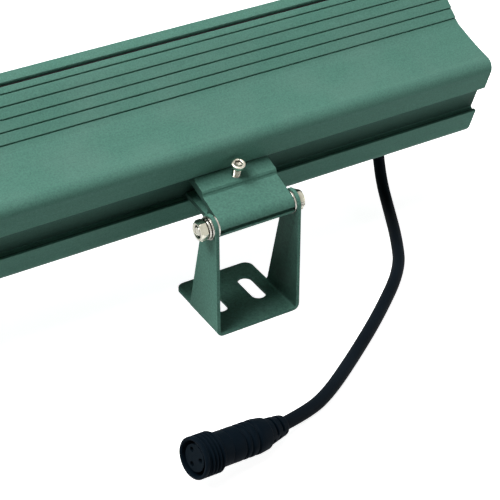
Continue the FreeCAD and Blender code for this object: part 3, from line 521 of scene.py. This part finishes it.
def makePivotBolt(side, x):
    # chamfered thread end, helical ridges, shank, then a hexagon whose corners are cut by a cone
    sides = 96
    start, long = pivot["end"], pivot["headSeat"] - pivot["end"]
    thread = np.arange(0.5, pivot["threadEnd"] - start, 0.08)
    wave = threadWave(thread, sides, pivot["pitch"])
    wave = pivot["root"] + (pivot["thread"] - pivot["root"]) * wave
    tip = np.array([(0.0, 0.3), (0.0, 1.72), (0.06, 1.84), (0.42, 2.1)])
    top = long + pivot["headHeight"]
    head = np.array([(pivot["threadEnd"] - start + 0.1, 2.48), (long, 2.48), (long, 4.0), (long + 0.12, 6.0),
                     (top - pivot["cornerDrop"], pivot["corner"]), (top - 0.08, pivot["faceRadius"] + 0.1),
                     (top - 0.02, pivot["faceRadius"] - 0.05), (top, pivot["faceRadius"] - 0.2), (top, 0.3)])
    along = np.concatenate([tip[:, 0], thread, head[:, 0]])
    radii = np.vstack([np.repeat(tip[:, 1:], sides, axis=1), wave,
                       hexRows(head, pivot["flats"], sides, [False] * 2 + [True] * 6 + [False])])
    spot = (x + start, pivot["y"], pivot["z"])
    piece = addPiece("pivotBolt_" + side, [(carried(along, radii, spot, (1, 0, 0), pivot["headTurn"]), "closed")],
                     side + "_foot", boltSteel, 24.0)
    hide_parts("pivot_bolt_" + side)


def makePivotNut(side, x):
    # hexagon cut by a cone at both faces, and a countersunk bore
    high, bore = pivot["nutHeight"], pivot["thread"] + 0.06
    edge = pivot["cornerDrop"]
    face = pivot["faceRadius"]
    profile = np.array([(0.25, bore), (0.0, bore + 0.3), (0.0, face), (0.05, face + 0.1),
                        (edge * 0.6, pivot["corner"]), (high - edge, pivot["corner"]), (high - 0.07, face + 0.1), (high, face - 0.1),
                        (high, bore + 0.55), (high - 0.05, bore + 0.45), (high - 0.45, bore)])
    radii = hexRows(profile, pivot["flats"], 96, [False] * 2 + [True] * 6 + [False] * 3)
    spot = (x + pivot["nutSeat"], pivot["y"], pivot["z"])
    hexagon = carried(profile[:, 0], radii, spot, (-1, 0, 0), pivot["nutTurn"])
    piece = addPiece("pivotNut_" + side, [(hexagon, "ring")], side + "_foot", boltSteel, 24.0)
    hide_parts("pivot_nut_" + side)


springRing = {"inner": 2.62, "outer": 4.5, "thick": 1.15, "split": 10.0, "lead": 0.08, "splitAt": 100.0}


def makeSpringWasher(side, x):
    # a rounded oblong section swept round the axis, less the split, with a slight lead from end to end
    half = springRing["split"] / 2
    turns = np.radians(springRing["splitAt"] + np.linspace(half, 360 - half, 90))
    around = np.arange(16) * math.pi / 8
    power = lambda value: np.sign(value) * np.abs(value) ** 0.35
    middle = (springRing["inner"] + springRing["outer"]) / 2
    radius = middle + (springRing["outer"] - springRing["inner"]) / 2 * power(np.cos(around))
    across = (springRing["thick"] / 2 - springRing["lead"]) * power(np.sin(around))
    lead = np.linspace(-1, 1, 90)[:, None] * springRing["lead"]
    grid = np.stack([x + pivot["nutSeat"] + springRing["thick"] / 2 + across[None, :] + lead,
                     pivot["y"] + radius[None, :] * np.cos(turns)[:, None],
                     pivot["z"] + radius[None, :] * np.sin(turns)[:, None]], axis=-1)
    piece = addPiece("springWasher_" + side, [(grid, "closed")], side + "_foot", washerSteel)
    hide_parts("spring_washer_" + side)


def socketScrew(base, axis, parts):
    # pointed shank with helical ridges, a head with a rolled edge, and a six-sided socket with a coned floor
    sides, pitch, shank = 72, parts["pitch"], parts["shank"]
    low, top, rim, well = -parts["length"], parts["head"], parts["headRadius"], parts["socket"] / math.sqrt(3)
    thread = np.arange(low + parts["tip"], -0.15, pitch / 10)
    wave = shank - parts["depth"] * (1 - threadWave(thread, sides, pitch))
    tip = np.array([(low, 0.3), (low, parts["tipRadius"]), (low + parts["tip"] - 0.05, parts["tipRadius"] + 0.1)])
    root = shank - parts["depth"]
    corners = [(-0.1, root), (0.0, root), (0.0, rim), (top, rim), (top, well + 0.16)]
    head = rounded(corners, parts["roll"], 5)
    drive = np.array([(top - 0.14, well), (top - parts["sink"], well), (top - parts["sink"] - 0.5, 0.2)])
    along = np.concatenate([tip[:, 0], thread, head[:, 0], drive[:, 0]])
    radii = np.vstack([np.repeat(tip[:, 1:], sides, axis=1), wave, np.repeat(head[:, 1:], sides, axis=1),
                       hexRows(drive, parts["socket"], sides, [True, True, False])])
    return carried(along, radii, base, axis, parts["turn"]), "closed"


clampScrew = {"u": -4.4, "seat": 4.9, "length": 14.95, "head": 1.9, "headRadius": 2.95, "shank": 1.74, "depth": 0.3,
              "pitch": 0.6, "tip": 1.2, "tipRadius": 1.2, "socket": 3.0, "sink": 1.25, "roll": 0.45, "turn": 20.0}
endScrew = {"places": ((5.8, 7.7), (6.4, -25.6), (33.8, 9.77), (33.8, -16.4)), "inset": 3.0, "length": 12.0,
            "head": 2.2, "headRadius": 3.0, "shank": 1.74, "depth": 0.3, "pitch": 0.6, "tip": 0.6, "tipRadius": 1.2,
            "socket": 2.5, "sink": 1.2, "roll": 0.7, "turn": 10.0}


def makeScrews():
    # one clamp screw per bracket along the lamp's upward way, four screws per end along X
    for side, x in pivot["brackets"].items():
        spot = lampPoint(x, clampScrew["u"], clampScrew["seat"])
        piece = addPiece("clampScrew_" + side, [socketScrew(spot, upward, clampScrew)], side + "_clamp",
                         screwSteel, 28.0)
        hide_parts("clamp_screw_" + side)
    for side, x, way in (("right", lamp["rightEnd"], 1.0), ("left", lamp["leftEnd"], -1.0)):
        grids = [socketScrew(lampPoint(x - way * endScrew["inset"], u, w), (way, 0, 0), endScrew)
                 for u, w in endScrew["places"]]
        piece = addPiece("endScrews_" + side, grids, "lamp", screwSteel, 28.0)
        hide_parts("end_screws_" + side)


for side, x in pivot["brackets"].items():
    makePivotBolt(side, x)
    makePivotNut(side, x)
    makeSpringWasher(side, x)
makeScrews()
print("fasteners made")


cable = {"diameter": 5.5, "length": 225.9,
         "route": [(101.9, 38.916, 47.865), (101.9, 43.637, 34.155), (101.7, 41.4, 20.6), (99.2, 33.7, 9.1),
                   (95.2, 21.8, 2.75), (84.4, 0.0, 2.75), (71.7, -21.2, 2.75), (44.8, -43.8, 2.75),
                   (21.0, -61.2, 2.75), (-1.0, -76.0, 2.75), (-14.4, -81.8, 2.9), (-29.5, -86.1, 5.6)]}


def layCable():
    line = bpy.data.curves.new("cableLine", "CURVE")
    line.dimensions = "3D"
    spline = line.splines.new("NURBS")
    spline.points.add(len(cable["route"]) - 1)
    corners = np.hstack([np.array(cable["route"]) * mm, np.ones((len(cable["route"]), 1))])
    spline.points.foreach_set("co", corners.ravel())
    spline.order_u = 3
    spline.use_endpoint_u = True
    line.resolution_u = 16
    line.bevel_depth = cable["diameter"] / 2 * mm
    line.bevel_resolution = 8
    line.use_fill_caps = True
    line.materials.append(jacketBlack)
    piece = bpy.data.objects.new("cableLine", line)
    bpy.context.scene.collection.objects.link(piece)
    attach(piece, "lamp")
    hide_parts("cable")
    return piece


plug = {"root": (-39.3, -88.9, 7.95), "bearing": 188.8, "pitch": 10.9, "gripLength": 19.5, "gripStart": 6.3,
        "shoulder": 4.5, "gripRoot": 6.85, "gripEnd": 6.8, "grooves": (6.9, 10.3, 13.1), "grooveWidth": 1.25,
        "grooveDepth": 0.8, "collar": 6.85, "collarLength": 4.4, "threadLength": 10.3, "thread": 8.2,
        "threadRoot": 7.15, "threadPitch": 1.65, "rim": 2.1, "rimRoll": 0.7, "bore": 6.85, "boreDepth": 6.0,
        "sides": 120}


def plugWay():
    # the way the plug points, from its bearing and its pitch
    bearing, pitch = math.radians(plug["bearing"]), math.radians(plug["pitch"])
    return np.array([math.cos(bearing) * math.cos(pitch), math.sin(bearing) * math.cos(pitch), math.sin(pitch)])


def makeGrip():
    # profile of the grip, with a soft-edged groove at each of its three places
    corners = [(0.0, 0.5), (0.0, plug["gripStart"]), (plug["shoulder"], plug["gripRoot"])]
    for middle in plug["grooves"]:
        half, surface = plug["grooveWidth"] / 2, plug["gripRoot"]
        corners += [(middle - half, surface), (middle - half * 0.6, surface - plug["grooveDepth"]),
                    (middle + half * 0.6, surface - plug["grooveDepth"]), (middle + half, surface)]
    corners += [(plug["gripLength"], plug["gripEnd"]), (plug["gripLength"], 0.5)]
    profile = rounded(corners, 0.45)
    radii = np.repeat(profile[:, 1:], plug["sides"], axis=1)
    piece = addPiece("plugGrip", [(carried(profile[:, 0], radii, plug["root"], plugWay()), "closed")],
                     "lamp", plugBlack)
    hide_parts("plug_grip")
    return piece


def makeShell():
    # collar, helical ridges under a plain rim, and the bore; ridge height fades in and out along the thread
    base = np.array(plug["root"]) + plugWay() * plug["gripLength"]
    total = plug["collarLength"] + plug["threadLength"]
    start, stop = plug["collarLength"] + 0.3, total - plug["rim"]
    along = np.arange(start, stop + 0.01, 0.11)
    fade = np.clip((along - start) / 0.5, 0, 1) * np.clip((stop - along) / 0.35, 0, 1)
    wave = threadWave(along, plug["sides"], plug["threadPitch"]) * fade[:, None]
    ridges = plug["threadRoot"] + (plug["thread"] - plug["threadRoot"]) * wave
    foot = rounded([(0.0, 0.5), (0.0, plug["collar"]), (plug["collarLength"], plug["collar"]),
                    (plug["collarLength"], plug["threadRoot"]), (start - 0.05, plug["threadRoot"])], 0.25)
    rim = rounded([(stop + 0.05, plug["threadRoot"]), (stop + 0.05, plug["thread"]), (total, plug["thread"]),
                   (total, plug["bore"]), (total - plug["boreDepth"], plug["bore"]),
                   (total - plug["boreDepth"], 0.5)], plug["rimRoll"], 6)
    sides = plug["sides"]
    rows = np.concatenate([foot[:, 0], along, rim[:, 0]])
    radii = np.vstack([np.repeat(foot[:, 1:], sides, axis=1), ridges, np.repeat(rim[:, 1:], sides, axis=1)])
    piece = addPiece("plugShell", [(carried(rows, radii, base, plugWay()), "closed")],
                     "lamp", plugBlack)
    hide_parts("plug_shell")
    return piece


poles = {"count": 3, "circle": 3.35, "radius": 1.0, "turn": 13.0, "deep": 4.2, "insert": 5.35, "below": 0.95,
         "height": 5.5, "key": (0.8, 1.0), "tube": 0.78}


def thirdOfFace(face, level, rising, axis, turn):
    # rays from a hole's middle: each ends on the disc's edge or on a side of the hole's third, whichever is nearer
    swing, ends = math.radians(turn), np.radians([turn - 60, turn + 60])
    middle = np.array([math.cos(swing), math.sin(swing)]) * poles["circle"]
    marks = np.array([[poles["insert"] * math.cos(end), poles["insert"] * math.sin(end)] for end in ends] + [[0, 0]])
    exact = np.arctan2(marks[:, 1] - middle[1], marks[:, 0] - middle[0]) % (2 * math.pi)
    rays = np.unique(np.concatenate([np.arange(60) * math.pi / 30, exact]))
    ways = np.stack([np.cos(rays), np.sin(rays)], axis=-1)
    toward = ways @ middle
    reach = -toward + np.sqrt(poles["insert"] ** 2 - poles["circle"] ** 2 + toward ** 2)
    for end, sign in zip(ends, (1.0, -1.0)):
        normal = sign * np.array([math.sin(end), -math.cos(end)])
        speed = ways @ normal
        reach = np.where(speed > 1e-6, np.minimum(reach, -(middle @ normal) / np.maximum(speed, 1e-6)), reach)
    # floor, wall and lip of the hole, then out to the third's edge
    rings = [(poles["deep"], middle + ways * 0.05), (poles["deep"], middle + ways * poles["radius"]),
             (0.12, middle + ways * poles["radius"]), (0.0, middle + ways * (poles["radius"] + 0.12)),
             (0.0, middle + ways * reach[:, None])]
    grid = np.stack([face - axis * depth + spots[:, :1] * level + spots[:, 1:] * rising for depth, spots in rings])
    return grid[:, ::-1]


def makeInsert():
    # three thirds of the face, each with its hole, over a plain drum; a key rib stands on the drum's upper side
    level, rising, axis = aimed(plugWay())
    total = plug["gripLength"] + plug["collarLength"] + plug["threadLength"]
    face = np.array(plug["root"]) + axis * (total - poles["below"])
    grids = [(thirdOfFace(face, level, rising, axis, poles["turn"] + 360 * k / poles["count"]), "loop")
             for k in range(poles["count"])]
    drum = np.array([(-poles["height"], poles["insert"]), (0.0, poles["insert"])])
    grids.append((carried(drum[:, 0], np.repeat(drum[:, 1:], 96, axis=1), face, axis), "loop"))
    wide, high = poles["key"]
    corners = np.array([(-wide, -0.3), (wide, -0.3), (wide, high), (wide - 0.15, high + 0.1),
                        (0.15 - wide, high + 0.1), (-wide, high)]) + (0.0, poles["insert"])
    section = corners[:, :1] * level + corners[:, 1:] * rising
    grids.append((face + section[None] - axis * np.array([poles["height"], 0.1])[:, None, None], "closed"))
    piece = addPiece("plugInsert", grids, "lamp", insertBlack)
    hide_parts("plug_insert")
    return piece


def makePoles():
    # a spring socket in each hole: a short tube a little down from the face
    level, rising, axis = aimed(plugWay())
    total = plug["gripLength"] + plug["collarLength"] + plug["threadLength"]
    face = np.array(plug["root"]) + axis * (total - poles["below"])
    inner, outer, low, high = poles["tube"], 0.96, -4.0, -1.5
    profile = rounded([(low, inner), (low, outer), (high, outer), (high, inner), (low, inner)], 0.08)[:-1]
    radii = np.repeat(profile[:, 1:], 24, axis=1)
    grids = []
    for k in range(poles["count"]):
        swing = math.radians(poles["turn"] + 360 * k / poles["count"])
        spot = face + (level * math.cos(swing) + rising * math.sin(swing)) * poles["circle"]
        grids.append((carried(profile[:, 0], radii, spot, axis), "ring"))
    return addPiece("plugPoles", grids, "lamp", poleBrass)


sleeve = {"start": (-29.5, -86.1, 5.6), "end": 4.15, "root": 5.6, "slotWidth": 1.2, "slotDepth": 1.5,
          "slots": ((1.7, 280.0), (3.7, 90.0), (5.65, 280.0), (7.6, 90.0), (9.5, 280.0)), "slotHalf": 78.0,
          "overlap": 0.8}


def makeSleeve():
    # a cone whose radius drops by the slot's depth in each row, where the angle is within half a slot of its middle
    start = np.array(sleeve["start"])
    run = np.array(plug["root"]) - start
    long = np.linalg.norm(run)
    angles = np.degrees(ringAngles(144))
    small = sleeve["end"]
    rows = [(0.0, 2.7), (0.0, small - 0.35), (0.12, small - 0.1), (0.4, small)]
    masks = [np.zeros(144)] * 4
    for middle, facing in sleeve["slots"]:
        away = np.abs((angles - facing + 180) % 360 - 180)
        mask = np.clip((sleeve["slotHalf"] - away) / 3.0, 0, 1)
        half = sleeve["slotWidth"] / 2
        for place, share in ((-half - 0.12, 0), (-half, 0.08), (-half + 0.03, 1), (half - 0.03, 1), (half, 0.08),
                             (half + 0.12, 0)):
            along = middle + place
            rows.append((along, small + (sleeve["root"] - small) * along / long))
            masks.append(mask * share)
    rows += [(long + sleeve["overlap"], sleeve["root"]), (long + sleeve["overlap"], 2.7)]
    masks += [np.zeros(144)] * 2
    rows = np.array(rows)
    radii = rows[:, 1:2] - np.array(masks) * sleeve["slotDepth"]
    piece = addPiece("bendSleeve", [(carried(rows[:, 0], radii, start, run), "closed")],
                     "lamp", plugBlack)
    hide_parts("strain_relief")
    return piece


cableLine = layCable()
plugPieces = [makeGrip(), makeShell(), makeInsert(), makePoles(), makeSleeve()]
print("cable and plug laid")


stage = {"size": 6.0, "floor": (0.86, 0.86, 0.86, 1), "glow": 0.93, "bounce": (0.42, 0.42, 0.42, 1),
         "bounceGlow": 0.19, "mirrored": 0.60, "world": (1.0, 0.99, 0.93, 1), "worldStrength": 0.66}


def makeFloor():
    # one flat sheet under the feet; it looks pale but throws back little light, as a sweep far below does
    half = stage["size"] / 2
    ticks = np.linspace(-half, half, 5)
    across, along = np.meshgrid(ticks, ticks)
    mesh = bpy.data.meshes.new("studioFloor")
    spots = np.stack([across.ravel(), along.ravel(), np.full(across.size, -0.0002)], axis=-1)
    mesh.from_pydata(spots.tolist(), [], gridFaces(5, 5, False, False).tolist())
    material = bpy.data.materials.new("studioFloor")
    material.use_nodes = True
    tree = material.node_tree
    tree.nodes.remove(tree.nodes["Principled BSDF"])
    seen = tree.nodes.new("ShaderNodeBsdfDiffuse")
    seen.inputs["Color"].default_value = stage["floor"]
    glow = tree.nodes.new("ShaderNodeEmission")
    glow.inputs["Strength"].default_value = stage["glow"]
    both = tree.nodes.new("ShaderNodeAddShader")
    tree.links.new(seen.outputs[0], both.inputs[0])
    tree.links.new(glow.outputs[0], both.inputs[1])
    quiet = tree.nodes.new("ShaderNodeBsdfDiffuse")
    quiet.inputs["Color"].default_value = stage["bounce"]
    lowGlow = tree.nodes.new("ShaderNodeEmission")
    # gloss sees it bright too, so that metal mirrors a pale studio
    path = tree.nodes.new("ShaderNodeLightPath").outputs
    gloss = maths(tree, "MULTIPLY", path["Is Glossy Ray"], stage["mirrored"] - stage["bounceGlow"])
    tree.links.new(maths(tree, "ADD", gloss, stage["bounceGlow"]), lowGlow.inputs["Strength"])
    unseen = tree.nodes.new("ShaderNodeAddShader")
    tree.links.new(quiet.outputs[0], unseen.inputs[0])
    tree.links.new(lowGlow.outputs[0], unseen.inputs[1])
    choose = tree.nodes.new("ShaderNodeMixShader")
    tree.links.new(path["Is Camera Ray"], choose.inputs[0])
    tree.links.new(unseen.outputs[0], choose.inputs[1])
    tree.links.new(both.outputs[0], choose.inputs[2])
    tree.links.new(choose.outputs[0], tree.nodes["Material Output"].inputs["Surface"])
    mesh.materials.append(material)
    floor = bpy.data.objects.new("studioFloor", mesh)
    bpy.context.scene.collection.objects.link(floor)


def addLight(name, way, distance, width, height, power, colour, aim=(0.0, 0.0, 0.05)):
    # a soft box at a distance from the aim along a way, turned to face it
    light = bpy.data.lights.new(name, "AREA")
    light.shape = "RECTANGLE"
    light.size = width
    light.size_y = height
    light.energy = power
    light.color = colour
    box = bpy.data.objects.new(name, light)
    way = np.array(way, float) / np.linalg.norm(way)
    box.location = np.array(aim) + way * distance
    box.rotation_euler = (math.acos(way[2]), 0, math.atan2(way[0], -way[1]))
    bpy.context.scene.collection.objects.link(box)


def lightStage():
    world = bpy.data.worlds.new("studioAir")
    bpy.context.scene.world = world
    world.use_nodes = True
    world.node_tree.nodes["Background"].inputs["Color"].default_value = stage["world"]
    mirrored = world.node_tree.nodes.new("ShaderNodeLightPath").outputs["Is Glossy Ray"]
    strength = maths(world.node_tree, "MULTIPLY", mirrored, stage["worldStrength"])
    world.node_tree.links.new(strength, world.node_tree.nodes["Background"].inputs["Strength"])
    addLight("keyBox", (-0.50, 0.0, 0.87), 2.0, 1.0, 1.0, 40.8, (1.0, 1.0, 1.0))
    addLight("topBox", (0.0, 0.0, 1.0), 2.0, 1.4, 1.4, 8.2, (1.0, 1.0, 1.0))
    addLight("backBox", (-0.2, 0.5, 0.85), 2.0, 1.0, 1.0, 5.2, (1.0, 1.0, 1.0))
    addLight("endCard", (0.75, -0.65, 0.10), 0.5, 0.3, 0.3, 0.75, (1.0, 1.0, 1.0), (0.14, -0.02, 0.05))
    addLight("leftCard", (-1.0, -0.2, 0.35), 2.0, 0.8, 0.8, 1.8, (1.0, 1.0, 1.0))
    bpy.context.scene.view_settings.view_transform = "Standard"


makeFloor()
lightStage()
print("stage lit")
